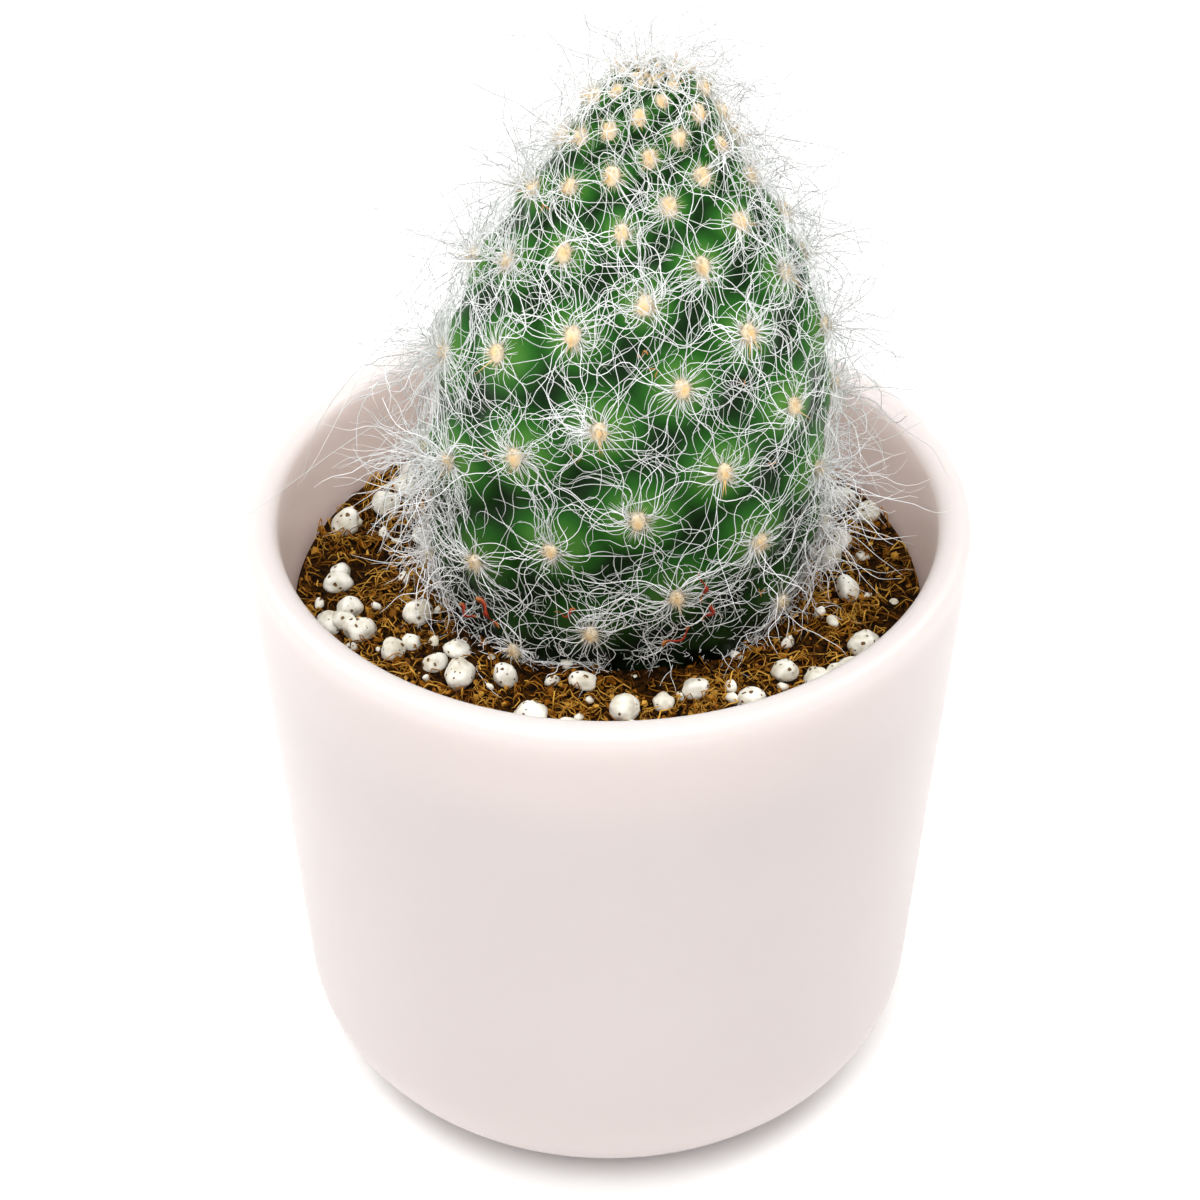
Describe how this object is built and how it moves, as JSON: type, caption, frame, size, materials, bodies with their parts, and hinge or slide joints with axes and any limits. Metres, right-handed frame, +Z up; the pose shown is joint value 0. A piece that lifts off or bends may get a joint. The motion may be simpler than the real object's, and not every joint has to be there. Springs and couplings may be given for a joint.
{
  "type": "potted prickly pear cactus",
  "caption": "Woolly columnar prickly pear with felt tufts and long white hairs, standing in compost in a round tapered glazed pot.",
  "frame": {"origin": "on the pot's axis, at the plane that its foot ring stands on", "axes": "+Z up along the pot's axis; -Y towards the side that the picture shows; +X to its right"},
  "size_m": [0.08, 0.08, 0.1379],
  "materials": {
    "pot": "satin blush-white glaze",
    "soil": "loose golden-brown fibre with cream pitted granules",
    "cactus": "satin green skin under cream felt and white hair"
  },
  "bodies": {
    "root": {"pot": "pot", "soil": "soil", "cactus": "cactus"}
  },
  "joints": []
}
